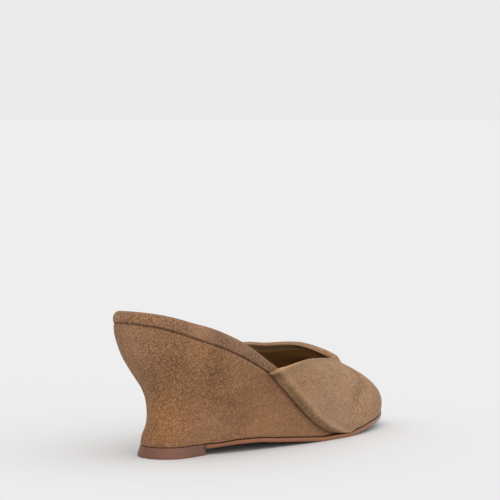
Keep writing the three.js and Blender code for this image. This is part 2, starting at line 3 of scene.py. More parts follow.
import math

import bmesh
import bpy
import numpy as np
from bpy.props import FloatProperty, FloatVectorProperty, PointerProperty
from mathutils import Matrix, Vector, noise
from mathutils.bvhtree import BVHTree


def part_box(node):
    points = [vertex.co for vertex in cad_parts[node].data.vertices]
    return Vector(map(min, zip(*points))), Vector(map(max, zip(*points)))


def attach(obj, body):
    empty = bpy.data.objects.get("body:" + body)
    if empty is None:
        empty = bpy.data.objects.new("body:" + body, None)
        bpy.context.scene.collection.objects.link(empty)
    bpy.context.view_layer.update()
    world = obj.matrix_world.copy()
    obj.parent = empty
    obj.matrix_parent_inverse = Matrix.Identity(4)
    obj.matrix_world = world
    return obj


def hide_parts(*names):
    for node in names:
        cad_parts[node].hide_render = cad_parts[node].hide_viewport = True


bl_info = {
    "name": "Wedge mule",
    "version": (1, 0, 0),
    "blender": (4, 5, 0),
    "location": "3D View > Sidebar > Mule",
    "description": "Makes the suede, leather and rubber pieces of a wedge mule and its stage",
    "category": "Add Mesh",
}

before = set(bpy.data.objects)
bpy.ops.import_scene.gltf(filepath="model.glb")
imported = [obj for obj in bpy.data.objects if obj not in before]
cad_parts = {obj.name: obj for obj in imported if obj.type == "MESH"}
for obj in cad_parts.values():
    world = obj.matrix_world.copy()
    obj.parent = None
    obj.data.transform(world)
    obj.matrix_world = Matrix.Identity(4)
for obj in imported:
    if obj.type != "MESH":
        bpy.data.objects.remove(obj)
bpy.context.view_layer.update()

MM = 0.001
MERGE_WITHIN = 1e-7


# Sizes and colours

def length(name, default, text):
    kind = {"subtype": "DISTANCE", "unit": "LENGTH"}
    return FloatProperty(name=name, description=text, default=default, **kind)


def srgb(red, green, blue):
    """A colour in linear light from its 0 to 255 values on a screen."""
    def linear(value):
        share = value / 255
        return share / 12.92 if share <= 0.04045 else ((share + 0.055) / 1.055) ** 2.4
    return linear(red), linear(green), linear(blue)


def colour(name, default, text):
    kind = {"subtype": "COLOR", "min": 0, "max": 1}
    return FloatVectorProperty(name=name, description=text, default=default, **kind)


class MuleSizes(bpy.types.PropertyGroup):
    shoe_length: length("Shoe length", 241 * MM, "From the back of the heel to the toe")
    ball_width: length("Ball width", 76 * MM, "Width of the sole at the ball")
    seat_width: length("Seat width", 59 * MM, "Width of the footbed at the heel")
    heel_height: length("Heel height", 94 * MM, "From the ground to the rim at the back")
    instep_height: length("Instep height", 61 * MM, "From the ground to the topline")
    toe_height: length("Toe height", 30 * MM, "Height of the toe box")
    toe_spring: length("Toe spring", 9 * MM, "Rise of the toe above the ground")
    sole_thickness: length("Sole thickness", 2.8 * MM, "Thickness of the outsole")
    forepart_padding: length("Forepart padding", 5 * MM, "Thickness of the footbed at the ball")
    rim_thickness: length("Rim thickness", 10.8 * MM, "Depth of the padded rim")
    rim_overhang: length("Rim overhang", 0.3 * MM, "How far the rim stands out over the wedge")
    seam_depth: length("Seam depth", 1.4 * MM, "How far the seam under the rim is drawn in")
    dish_depth: length("Dish depth", 2.2 * MM, "Depth of the hollow that the foot lies in")
    sock_thickness: length("Sock thickness", 1.2 * MM, "Thickness of the leather sock")
    sock_margin: length("Sock margin", 5.5 * MM, "Width of the rim around the sock")
    lift_thickness: length("Lift thickness", 7.2 * MM, "Thickness of the heel lift")
    lift_width: length("Lift width", 38 * MM, "Width of the heel lift")
    lift_length: length("Lift length", 35 * MM, "Length of the heel lift")
    lift_setback: length("Lift setback", 18.6 * MM, "How far the lift stands in from the rim's back")
    lift_flare: length("Lift flare", 2.2 * MM, "How much the lift widens down to the ground")
    heel_scoop: length("Heel scoop", 12.2 * MM, "Depth of the hollow at the back of the wedge")
    side_scoop: length("Side scoop", 3.6 * MM, "Depth of the hollow at the sides of the wedge")
    upper_wall: length("Upper wall", 2.6 * MM, "Thickness of the vamp with its padding")
    topline_roll: length("Topline roll", 0.9 * MM, "How far the topline swells")
    point_roll: length("Point roll", 2.7 * MM, "How much more it swells beside its point at the toe")
    feather_inset: length("Feather inset", 0.6 * MM, "How far the vamp stands in from the sole's edge")
    fit_gap: length("Fit gap", 0.3 * MM, "Gap between pieces that lie on each other")


class MuleColours(bpy.types.PropertyGroup):
    vamp: colour("Vamp suede", srgb(153, 121, 93), "Suede of the vamp")
    wedge: colour("Wedge suede", srgb(141, 104, 74), "Suede of the wedge")
    rim: colour("Rim suede", srgb(144, 109, 84), "Suede of the padded rim")
    lining: colour("Lining", srgb(128, 90, 46), "Leather inside the vamp")
    sock: colour("Sock", srgb(112, 84, 58), "Leather under the foot")
    sole: colour("Sole leather", srgb(145, 89, 52), "Leather of the outsole")
    lift: colour("Heel lift", srgb(128, 88, 71), "Rubber of the heel lift")
    floor: colour("Floor", (0.815, 0.815, 0.815), "Plain floor")


# Curves through tables

def mix(a, b, share):
    return a + (b - a) * share


def smoothstep(value, start, end):
    share = np.clip((value - start) / (end - start), 0, 1)
    return share * share * (3 - 2 * share)


def hump(value, centre, width):
    """A soft bump of height 1 at centre."""
    return np.exp(-(((value - centre) / width) ** 2))


def hermite(before, after, slope_before, slope_after, t):
    start = before * (2 * t**3 - 3 * t**2 + 1) + slope_before * (t**3 - 2 * t**2 + t)
    return start + after * (3 * t**2 - 2 * t**3) + slope_after * (t**3 - t**2)


class Table:
    """Rows of shares with named columns, read along a smooth curve that never overshoots. scale
    turns the columns into sizes, and the rows in first are sizes already."""

    def __init__(self, names, scale, *rows, first=()):
        sizes = [*first, *(np.array(rows, dtype=float) * scale)]
        self.columns = dict(zip(names, np.array(sizes, dtype=float).T))

    def read(self, name, y):
        places, values = self.columns["y"], self.columns[name]
        y = np.clip(y, places[0], places[-1])
        rates = np.diff(values) / np.diff(places)
        before, after = rates[:-1], rates[1:]
        level = before * after <= 0
        inside = np.where(level, 0, 2 * before * after / np.where(level, 1, before + after))
        slopes = np.concatenate((rates[:1], inside, rates[-1:]))
        i = np.clip(np.searchsorted(places, y, side="right") - 1, 0, len(places) - 2)
        span = places[i + 1] - places[i]
        t = (y - places[i]) / span
        return hermite(values[i], values[i + 1], slopes[i] * span, slopes[i + 1] * span, t)


def smooth_through(values, at):
    """Read a smooth curve through evenly spaced values."""
    values = np.asarray(values, dtype=float)
    ends = 2 * values[0] - values[1], 2 * values[-1] - values[-2]
    padded = np.concatenate(([ends[0]], values, [ends[1]]))
    i = np.clip(np.floor(at).astype(int), 0, len(values) - 2)
    before, start, end, after = (padded[i + k] for k in range(4))
    return hermite(start, end, 0.5 * (end - before), 0.5 * (after - start), at - i)


def crowded(steps, strength):
    """Shares from 0 to 1 that lie closer together at both ends."""
    share = np.linspace(0, 1, steps + 1)
    return share - strength * np.sin(2 * math.pi * share) / (2 * math.pi)


# The shoe's own lines. They run from the back of the heel, with +X to the outer side.

class Last:
    """The shoe's plans and heights, worked out from its sizes."""

    # From this share of the length the plans round off towards the tip, with this power.
    ROUND_FROM = 0.68
    ROUND_POWER = 2.08

    # Steps of the footbed's edge round the heel, along a side and round the toe.
    ARC_STEPS = 28
    SIDE_STEPS = 100
    CAP_STEPS = 36

    def __init__(self, sizes):
        self.sizes = sizes
        seat, ball, long = sizes.seat_width, sizes.ball_width, sizes.shoe_length
        low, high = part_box("heel_lift")
        self.start = np.array([0.5 * (low[0] + high[0]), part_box("footbed")[0][1], 0])
        self.tread = sizes.sole_thickness + sizes.fit_gap + sizes.forepart_padding
        self.toe_swing = -0.04 * ball
        self.seat_arc = 0.5 * seat
        self.lift_front = sizes.lift_setback + sizes.lift_length - sizes.lift_flare
        self.waist_front = 0.31 * long
        self.wedge_front = 0.72 * long
        self.cap_from = 0.8 * long
        self.footbed_front = 0.9 * long
        self.footbed_tip = long - sizes.upper_wall - 4 * sizes.fit_gap
        lift = 0.512 * sizes.lift_width
        self.sole_plan = Table(
            ("y", "outer", "inner"), (long, ball, ball),
            (0.29, 0.34, 0.285), (0.375, 0.396, 0.31), (0.5, 0.454, 0.385),
            (0.6, 0.478, 0.462), (0.7, 0.476, 0.505), (1, 0.44, 0.49),
            first=[(self.lift_front, lift, lift)],
        )
        self.footbed_plan = Table(
            ("y", "outer", "inner"), (long, ball, ball),
            (0.375, 0.407, 0.342), (0.5, 0.446, 0.375), (0.6, 0.436, 0.42),
            (0.7, 0.43, 0.458), (1, 0.39, 0.44),
            first=[(self.seat_arc, 0.5 * seat, 0.5 * seat), (0.25 * long, 0.508 * seat, 0.462 * seat)],
        )
        self.footbed_slope = Table(
            ("y", "rise", "spring", "depth"), (long, 1, 1, sizes.rim_thickness),
            (0, 1, 0, 0.7), (0.03, 0.99, 0, 0.78), (0.07, 0.962, 0, 0.87), (0.125, 0.916, 0, 0.92),
            (0.2, 0.86, 0, 0.99), (0.27, 0.79, 0, 1), (0.34, 0.7, 0, 0.97), (0.42, 0.556, 0, 0.81),
            (0.5, 0.4, 0, 0.69), (0.5625, 0.272, 0, 0.58), (0.625, 0.157, 0, 0.52),
            (0.68, 0.072, 0, 0.5), (0.74, 0.016, 0.08, 0.5), (0.8, 0, 0.3, 0.5),
            (0.9, 0, 0.58, 0.5), (1, 0, 1, 0.5),
        )
        self.sole_slope = Table(
            ("y", "waist", "spring"), (long, 1, 1),
            (0.37, 1.15, 0), (0.43, 0.85, 0), (0.5, 0.54, 0), (0.57, 0.2, 0), (0.62, 0, 0),
            (0.72, 0, 0), (0.77, 0, 0.15), (0.82, 0, 0.35), (0.88, 0, 0.5), (0.94, 0, 0.68), (1, 0, 1),
            first=[(self.lift_front, 0.9, 0), (self.waist_front, 1.2, 0)],
        )
        self.hollow = Table(
            ("y", "depth"), 1,
            (0, 0), (0.07, 0.17), (0.14, 0.46), (0.2, 0.67), (0.27, 0.86), (0.34, 0.97), (0.39, 1),
            (0.48, 0.82), (0.56, 0.51), (0.64, 0.26), (0.73, 0.06), (0.82, -0.04), (0.91, -0.08),
            (1, 0),
        )

    def crest(self, y):
        """Height of the rim's top."""
        rise = self.footbed_slope.read("rise", y) * (self.sizes.heel_height - self.tread)
        return self.tread + rise + self.footbed_slope.read("spring", y) * self.sizes.toe_spring

    def sole_under(self, y):
        clear = self.sizes.lift_thickness - self.sizes.sole_thickness
        waist = self.sole_slope.read("waist", y) * clear
        return waist + self.sole_slope.read("spring", y) * self.sizes.toe_spring

    def sole_top(self, y):
        seat = self.sizes.lift_thickness - self.sizes.fit_gap
        waist = self.sole_under(y) + self.sizes.sole_thickness
        return mix(seat, waist, smoothstep(y, self.lift_front, self.waist_front))

    def wedge_under(self, y):
        return self.sole_top(np.maximum(y, self.lift_front)) + self.sizes.fit_gap

    def footbed_under(self, y):
        seam = self.crest(y) - self.footbed_slope.read("depth", y)
        return np.maximum(seam, self.sole_top(y) + self.sizes.fit_gap)

    def dish(self, y, share):
        """Height of the dished top, from its edge (0) to the middle line (1)."""
        return self.crest(y) - self.sizes.dish_depth * mix(0.5, 1, np.sin(share * math.pi / 2))

    def axis_x(self, y):
        long = self.sizes.shoe_length
        return self.toe_swing * smoothstep(y, 0.5 * long, long)

    def plan_x(self, plan, side, y, tip):
        """Edge of a plan at y on one side, rounded off towards the tip."""
        round_from = self.ROUND_FROM * self.sizes.shoe_length
        t = np.clip((y - round_from) / (tip - round_from), 0, 1)
        cap = np.sqrt(np.maximum(0, 1 - t**self.ROUND_POWER))
        width = np.where(np.asarray(side) > 0, plan.read("outer", y), plan.read("inner", y))
        return self.axis_x(y) + side * (width - side * self.axis_x(y)) * cap

    def footbed_edge(self, side, tip):
        """Places along the footbed's edge on one side, from the heel's middle line to the tip,
        and how far round the heel each has come."""
        angle = np.linspace(0, math.pi / 2, self.ARC_STEPS, endpoint=False)
        half = self.footbed_plan.read("outer" if side > 0 else "inner", self.seat_arc)
        heel_y = self.seat_arc - self.seat_arc * np.cos(angle)
        heel = np.stack((side * half * np.sin(angle), heel_y), -1)
        y = np.linspace(self.seat_arc, self.cap_from, self.SIDE_STEPS, endpoint=False)
        cap = np.sin(np.linspace(0, math.pi / 2, self.CAP_STEPS + 1))
        y = np.concatenate((y, mix(self.cap_from, tip, cap)))
        front = np.stack((self.plan_x(self.footbed_plan, side, y, tip), y), -1)
        turned = np.concatenate((angle / (math.pi / 2), np.ones(len(y))))
        return np.concatenate((heel, front)), turned

    def footbed_ring(self):
        """Places round the footbed's edge, from the heel's middle line by the outer side and
        back, with the inward directions and the middle line's places beside them."""
        outer, inner = (self.footbed_edge(side, self.footbed_tip)[0] for side in (1, -1))
        ring = np.concatenate((outer, inner[-2::-1]))
        return ring, inward_of(ring), self.middle(ring[:, 1], self.seat_arc, self.footbed_front)

    def middle(self, y, first, last):
        """The middle line's place beside y, held between the ends of the line."""
        y = np.clip(y, first, last)
        return np.stack((self.axis_x(y), y), -1)

    def to_frame(self, points):
        return points + self.start

    def place(self, x, y, z):
        """A place given in millimetres from the back of the heel, as a place in the frame."""
        return tuple(self.to_frame(np.array([x, y, z]) * MM))

    def spots(self, *rows):
        """Rows that begin with a place and a radius in millimetres, as a material reads them."""
        return [(self.place(*row[:3]), row[3] * MM, *row[4:]) for row in rows]


def inward_of(ring):
    """Inward directions in plan at each place of a closed ring whose ends meet."""
    before = np.roll(ring[:-1], 1, axis=0)
    after = np.roll(ring[:-1], -1, axis=0)
    normal = np.stack((before[:, 1] - after[:, 1], after[:, 0] - before[:, 0]), -1)
    normal /= np.linalg.norm(normal, axis=1, keepdims=True)
    return np.concatenate((normal, normal[:1]))


def raised(places, height):
    """Places in plan, with their height."""
    return np.column_stack((places, np.broadcast_to(height, len(places))))


def unevenness(points):
    """Soft waves between -1 and 1, read at each of the points."""
    waves = np.array([noise.noise(Vector(point)) for point in points.reshape(-1, 3)])
    return waves.reshape(points.shape[:-1])


# The vamp. Its ribs stand along the sole's edge from the outer rear edge round the toe to the
# inner rear edge. foot is the place along the sole, top the place on the topline, and rise and
# fall are the handles of the rib's curve at the two ends. Each x is a share of the ball width
# and each y of the shoe's length. The z of rise is a share of the toe height, and the others
# are shares of the instep height.

RIB_COLUMNS = (
    "side", "foot", "top_x", "top_y", "top_z",
    "rise_x", "rise_y", "rise_z", "fall_x", "fall_y", "fall_z",
)
VAMP_RIBS = (
    (1, 0.69, 0.447, 0.396, 0.82, 0.036, -0.12, 0.04, 0.053, 0.09, -0.33),
    (1, 0.735, 0.44, 0.442, 0.859, 0.05, -0.075, 0.2, 0.085, 0.11, -0.36),
    (1, 0.79, 0.395, 0.492, 0.867, 0.06, -0.05, 0.4, 0.14, 0.115, -0.27),
    (1, 0.86, 0.3, 0.565, 0.867, 0.07, -0.005, 0.53, 0.18, 0.12, -0.16),
    (1, 0.93, 0.17, 0.66, 0.852, 0.07, 0.018, 0.53, 0.17, 0.125, -0.11),
    (0, 1, -0.03, 0.824, 0.803, 0, 0.028, 0.44, 0, 0.1, -0.17),
    (-1, 0.93, -0.16, 0.728, 0.977, 0.055, 0.015, 0.48, 0.17, 0.12, -0.33),
    (-1, 0.86, -0.3, 0.63, 1.0, 0.06, -0.01, 0.52, 0.17, 0.125, -0.36),
    (-1, 0.79, -0.37, 0.565, 1.02, 0.05, -0.05, 0.44, 0.12, 0.115, -0.4),
    (-1, 0.735, -0.39, 0.477, 0.968, 0.02, -0.075, 0.2, 0.055, 0.1, -0.4),
    (-1, 0.69, -0.384, 0.378, 0.825, -0.012, -0.12, 0.04, 0.018, 0.09, -0.33),
)

# Soft creases of the vamp: height out of the surface in shares of its wall, half width in
# shares of the ball width, and places as (way round the toe, way up a rib).
CREASES = (
    (0.36, 0.085, ((0.43, 0.94), (0.4, 0.82), (0.36, 0.72), (0.315, 0.64), (0.265, 0.58),
                   (0.2, 0.49), (0.15, 0.41))),
    (-0.5, 0.05, ((0.47, 0.8), (0.425, 0.675), (0.368, 0.56), (0.312, 0.485), (0.26, 0.43),
                  (0.2, 0.36), (0.14, 0.29))),
    (0.34, 0.075, ((0.42, 0.56), (0.345, 0.45), (0.285, 0.345), (0.235, 0.25), (0.19, 0.17))),
    (-0.16, 0.05, ((0.2, 0.84), (0.165, 0.68), (0.125, 0.52), (0.1, 0.36))),
    (0.3, 0.06, ((0.56, 0.9), (0.6, 0.72), (0.66, 0.58), (0.72, 0.45))),
    (-0.34, 0.06, ((0.55, 0.72), (0.6, 0.58), (0.66, 0.45), (0.73, 0.3))),
    (-0.18, 0.07, ((0.8, 0.8), (0.82, 0.6), (0.84, 0.4))),
)


class Vamp:
    """The vamp's outer face with its creases, and the wall behind it."""

    ROUND_STEPS = 300
    UP_STEPS = 96

    # The share of the outer face's swell that the inner face follows.
    DEEP_SHARE = 0.6

    # Rolls and troughs along the edges: how far in from the edge, and how wide.
    TOP_ROLL = (4.5 * MM, 3.4 * MM)
    TOP_TROUGH = (11 * MM, 3 * MM)
    REAR_ROLL = (7.5 * MM, 4 * MM)
    REAR_TROUGH = (16 * MM, 5 * MM)

    # How far in from each edge the wall is rounded. The rear edge has its own for each face.
    REAR_TURNS = (5.4 * MM, 1.2 * MM)
    TOP_TURN = 1.4 * MM
    FOOT_TURN = 0.8 * MM

    WAVE_HEIGHT = 0.12 * MM
    WAVES_PER_METRE = 70

    # The lining thins out within this share of the way along or up a rib.
    LINING_TURN = 0.004

    def __init__(self, last):
        self.last = last
        self.sizes = last.sizes
        self.ribs = dict(zip(RIB_COLUMNS, np.array(VAMP_RIBS, dtype=float).T))

    def foot(self, way_round):
        """The foot of a rib on the sole's edge: it turns round the toe as an arc does."""
        sizes, ribs = self.sizes, self.ribs
        tip = sizes.shoe_length - sizes.feather_inset
        along = np.where(ribs["side"] < 0, 2 - ribs["foot"], ribs["foot"])
        place = smooth_through(along, way_round * (len(along) - 1))
        side = np.where(place > 1, -1, 1)
        back = ribs["foot"][0]
        turn = np.minimum(1, (1 - np.abs(1 - place) - back) / (1 - back)) * math.pi / 2
        y = mix(back * sizes.shoe_length, tip, np.sin(turn))
        x = self.last.plan_x(self.last.sole_plan, side, y, tip)
        x = x - side * sizes.feather_inset * np.cos(turn)
        return np.stack((x, y, self.last.sole_top(y) + sizes.fit_gap), -1)

    def plain(self, way_round, up):
        """The outer face without creases, for arrays of the same shape."""
        sizes = self.sizes
        row = way_round * (len(VAMP_RIBS) - 1)

        def read(part, height, outward):
            scale = (sizes.ball_width, sizes.shoe_length, height)
            side = self.ribs["side"] if outward else 1
            values = [self.ribs[f"{part}_{axis}"] * size for axis, size in zip("xyz", scale)]
            values[0] = values[0] * side
            return np.stack([smooth_through(value, row) for value in values], -1)

        foot = self.foot(way_round)
        top = read("top", sizes.instep_height, False)
        rise = foot + read("rise", sizes.toe_height, True)
        fall = top + read("fall", sizes.instep_height, True)
        t = up[..., None]
        near = (1 - t) ** 3 * foot + 3 * (1 - t) ** 2 * t * rise
        return near + 3 * (1 - t) * t**2 * fall + t**3 * top

    def outward(self, way_round, up):
        step = 1e-3
        along = self.plain(way_round + step, up) - self.plain(way_round - step, up)
        across = self.plain(way_round, up + step) - self.plain(way_round, up - step)
        normal = np.cross(along, across)
        return normal / np.linalg.norm(normal, axis=-1, keepdims=True)

    def crease(self, points, path, width):
        """How strongly a crease along the path acts at each point."""
        knots = np.array(path, dtype=float)
        at = np.linspace(0, len(knots) - 1, 8 * (len(knots) - 1) + 1)
        line = self.plain(smooth_through(knots[:, 0], at), smooth_through(knots[:, 1], at))
        flat = points.reshape(-1, 3)
        nearest = np.full(len(flat), np.inf)
        share = np.zeros(len(flat))
        for k in range(len(line) - 1):
            step = line[k + 1] - line[k]
            t = np.clip(((flat - line[k]) @ step) / (step @ step), 0, 1)
            distance = np.linalg.norm(flat - line[k] - t[:, None] * step, axis=1)
            closer = distance < nearest
            nearest = np.where(closer, distance, nearest)
            share = np.where(closer, (k + t) / (len(line) - 1), share)
        taper = smoothstep(share, -0.05, 0.3) * smoothstep(1 - share, -0.05, 0.3)
        return (taper * np.exp(-((nearest / width) ** 2))).reshape(points.shape[:-1])

    def measure(self, way_round, up):
        """Points, normals, how far the face swells out, the creases' share of that, and the
        distances to the rear edge, the topline and the foot."""
        sizes = self.sizes
        points = self.plain(way_round, up)
        start, end = np.zeros_like(up), np.ones_like(up)

        def away(*edge):
            return np.linalg.norm(points - self.plain(*edge), axis=-1)

        rear = np.minimum(away(start, up), away(end, up))
        below, above = away(way_round, end), away(way_round, start)
        folds = np.zeros_like(up)
        for height, width, path in CREASES:
            folds += height * self.crease(points, path, width * sizes.ball_width)
        top = hump(below, *self.TOP_ROLL) - 0.3 * hump(below, *self.TOP_TROUGH)
        swell = folds * sizes.upper_wall + sizes.topline_roll * top
        swell += self.rear_roll(rear) + self.point_roll(way_round, up)
        swell += self.WAVE_HEIGHT * unevenness(points * self.WAVES_PER_METRE)
        return points, self.outward(way_round, up), swell, folds, rear, below, above

    def rear_roll(self, rear):
        """The turned rear edge: a soft roll with a trough in front of it."""
        roll = 0.34 * self.sizes.upper_wall
        return roll * (hump(rear, *self.REAR_ROLL) - 0.4 * hump(rear, *self.REAR_TROUGH))

    def point_roll(self, way_round, up):
        """A raised roll beside the topline's point at the toe end."""
        down = 1 - up
        swell = np.sin(math.pi * np.clip(7 * down, 0, 1)) - 0.5 * hump(down, 0.2, 0.07)
        return self.sizes.point_roll * hump(way_round, 0.575, 0.075) * swell

    def sheet(self, way_round, up):
        """The closed wall with rounded edges, and the marks that its suede reads."""
        points, normals, swell, folds, rear, below, above = self.measure(way_round, up)
        half = 0.5 * self.sizes.upper_wall
        centre = points + normals * (self.DEEP_SHARE * swell - half)[..., None]
        thick = half + (1 - self.DEEP_SHARE) * swell, -half
        faces = []
        for turn, out in zip(self.REAR_TURNS, thick):
            rounding = turn_over(rear, turn) * turn_over(below, self.TOP_TURN)
            rounding = rounding * turn_over(above, self.FOOT_TURN)
            faces.append(centre + normals * (out * rounding)[..., None])
        none = np.zeros_like(up)
        # Marks that the suede reads for its painted light and shade along the edges and on the folds.
        marks = {
            "rear": folded(rear, rear),
            "top": folded(below, below),
            "fold": folded(folds, none),
            "inside": folded(none, none + 1),
            "near": folded(smoothstep(0.5 - way_round, 0, 0.04), none),
        }
        return folded(*faces), marks

    def lining(self, way_round, up, sunk, thickness):
        """A thin sheet on the wall's inner face, sealed along its edges."""
        points, normals, swell, *rest = self.measure(way_round, up)
        half = 0.5 * thickness
        depth = self.sizes.upper_wall - sunk + half
        centre = points + normals * (self.DEEP_SHARE * swell - depth)[..., None]
        sides = way_round - way_round[0, 0], way_round[-1, 0] - way_round
        edge = np.minimum.reduce((*sides, up[0, -1] - up, up))
        out = normals * (half * turn_over(edge, self.LINING_TURN))[..., None]
        return folded(centre + out, centre - out)


def folded(face, back):
    """The columns of a face and, back from the edge they share, those of the face behind it."""
    return np.concatenate((face, back[:, -2::-1]), axis=1)


def turn_over(distance, radius):
    """A quarter round: 0 at an edge, 1 from the radius inwards."""
    share = 1 - np.clip(distance / radius, 0, 1)
    return np.sqrt(1 - share * share)


# Meshes

def new_piece(context, name, points, material, node=None, marks=None):
    """Make a closed piece from a flat sheet of faces. Each vertex of the sheet moves to its own
    place in points, and then the sheet's seams and poles are merged."""
    bm = bmesh.new()
    bm.loops.layers.uv.new("sheet")
    layers = {key: bm.verts.layers.float.new(key) for key in (marks or {})}
    columns, rows = points.shape[0] - 1, points.shape[1] - 1
    bmesh.ops.create_grid(bm, x_segments=columns, y_segments=rows, size=1, calc_uvs=True)
    if len(bm.verts) != (columns + 1) * (rows + 1):
        raise RuntimeError(f"{name}: the sheet has {len(bm.verts)} vertices")
    for vert in bm.verts:
        i = round((vert.co.x + 1) / 2 * columns)
        j = round((vert.co.y + 1) / 2 * rows)
        vert.co = points[i, j]
        for key, layer in layers.items():
            vert[layer] = marks[key][i, j]
    bmesh.ops.remove_doubles(bm, verts=bm.verts, dist=MERGE_WITHIN)
    bmesh.ops.recalc_face_normals(bm, faces=bm.faces)
    if bm.calc_volume(signed=True) < 0:
        bmesh.ops.reverse_faces(bm, faces=bm.faces)
    loose = [edge for edge in bm.edges if len(edge.link_faces) != 2]
    if loose:
        raise RuntimeError(f"{name}: {len(loose)} edges aren't closed")
    for face in bm.faces:
        face.smooth = True
    mesh = bpy.data.meshes.new(name)
    bm.to_mesh(mesh)
    bm.free()
    mesh.materials.append(material)
    piece = bpy.data.objects.new(name, mesh)
    context.scene.collection.objects.link(piece)
    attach(piece, "root")
    if node:
        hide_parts(node)
    return piece


def tucked(points, vamp, fade):
    """Press points that reach into the vamp's wall back under it, with a soft fade beside it."""
    clearance, reach = 0.45 * MM, 20 * MM
    way_round, up = np.meshgrid(np.linspace(0, 1, 121), np.linspace(0, 1, 41), indexing="ij")
    face, normals, swell, *rest = vamp.measure(way_round, up)
    inner = face + normals * (vamp.DEEP_SHARE * swell - vamp.sizes.upper_wall)[..., None]
    columns, rows = way_round.shape
    corners = [(i * rows + j, (i + 1) * rows + j, (i + 1) * rows + j + 1, i * rows + j + 1)
               for i in range(columns - 1) for j in range(rows - 1)]
    tree = BVHTree.FromPolygons([Vector(p) for p in inner.reshape(-1, 3)], corners)
    directions = normals.reshape(-1, 3)
    moved = points.reshape(-1, 3).copy()
    for k, point in enumerate(moved):
        near, normal, face_index, distance = tree.find_nearest(Vector(point), reach)
        if near is None:
            continue
        outward = directions[corners[face_index][0]]
        offset = point - np.array(near)
        out = float(offset @ outward)
        beside = math.sqrt(max(0.0, distance**2 - out**2))
        press = max(0.0, out + clearance) * (1 - float(smoothstep(beside, 0, fade)))
        moved[k] = point - outward * press
    return moved.reshape(points.shape)


# Shader maths

def maths(operation, reflected=False):
    """An operator of Wire, which adds the Math node that it stands for."""
    def join(wire, other):
        first, second = (other, wire) if reflected else (wire, other)
        return wire.finish.node("ShaderNodeMath", {"operation": operation}, {0: first, 1: second})
    return join


class Wire:
    """A value socket that can be added, subtracted and multiplied."""

    def __init__(self, finish, socket):
        self.finish = finish
        self.socket = socket

    __add__ = maths("ADD")
    __radd__ = maths("ADD", True)
    __sub__ = maths("SUBTRACT")
    __rsub__ = maths("SUBTRACT", True)
    __mul__ = maths("MULTIPLY")
    __rmul__ = maths("MULTIPLY", True)


class Finish:
    """A material, built node by node on Object coordinates."""

    def __init__(self, name):
        self.material = bpy.data.materials.new(name)
        self.material.use_nodes = True
        self.tree = self.material.node_tree
        self.tree.nodes.clear()
        self.places = self.node("ShaderNodeTexCoord", {}, {}, "Object")

    def node(self, kind, settings, sockets, out=0):
        node = self.tree.nodes.new(kind)
        for key, value in settings.items():
            setattr(node, key, value)
        for key, value in sockets.items():
            if isinstance(value, Wire):
                self.tree.links.new(value.socket, node.inputs[key])
            else:
                node.inputs[key].default_value = value
        return Wire(self, node.outputs[out]) if len(node.outputs) else None

    def stretched(self, scale):
        sockets = {"Vector": self.places, "Scale": scale}
        return self.node("ShaderNodeMapping", {"vector_type": "POINT"}, sockets)

    def noise(self, scale, detail, roughness, places=None):
        """Noise around 0.5. The scale is in waves to a metre."""
        sockets = {"Scale": scale, "Detail": detail, "Roughness": roughness}
        sockets["Vector"] = places or self.places
        return self.node("ShaderNodeTexNoise", {"noise_dimensions": "3D"}, sockets, "Fac")

    def cells(self, scale):
        sockets = {"Vector": self.places, "Scale": scale}
        return self.node("ShaderNodeTexVoronoi", {"feature": "F1"}, sockets, "Distance")

    def step(self, value, start, end, low=0.0, high=1.0):
        """A soft step from low at start to high at end."""
        sockets = {"Value": value, "From Min": start, "From Max": end, "To Min": low, "To Max": high}
        settings = {"interpolation_type": "SMOOTHSTEP", "clamp": True}
        return self.node("ShaderNodeMapRange", settings, sockets, "Result")

    def spot(self, place, radius):
        """A soft round spot: 1 at its place, 0 from the radius outwards."""
        sockets = {0: self.places, 1: place}
        away = self.node("ShaderNodeVectorMath", {"operation": "DISTANCE"}, sockets, "Value")
        return self.step(away, 0.0, radius, 1.0, 0.0)

    def mark(self, name):
        """A value that the mesh carries on its vertices."""
        return self.node("ShaderNodeAttribute", {"attribute_name": name}, {}, "Fac")

    def mixed(self, first, second, share, blend="MIX"):
        settings = {"data_type": "RGBA", "blend_type": blend}
        return self.node("ShaderNodeMix", settings, {0: share, 6: opaque(first), 7: opaque(second)}, 2)

    def toned(self, base, tone):
        """A colour made lighter or darker by a value around 1."""
        grey = self.node("ShaderNodeCombineColor", {}, {"Red": tone, "Green": tone, "Blue": tone})
        return self.mixed(base, grey, 1.0, "MULTIPLY")

    def bump(self, height, distance, strength):
        sockets = {"Height": height, "Distance": distance, "Strength": strength}
        return self.node("ShaderNodeBump", {}, sockets)

    def finish(self, **sockets):
        named = {key.replace("_", " "): value for key, value in sockets.items()}
        shader = self.node("ShaderNodeBsdfPrincipled", {}, named)
        self.node("ShaderNodeOutputMaterial", {}, {"Surface": shader})
        return self.material


def opaque(value):
    return value if isinstance(value, Wire) else (*value[:3], 1.0)


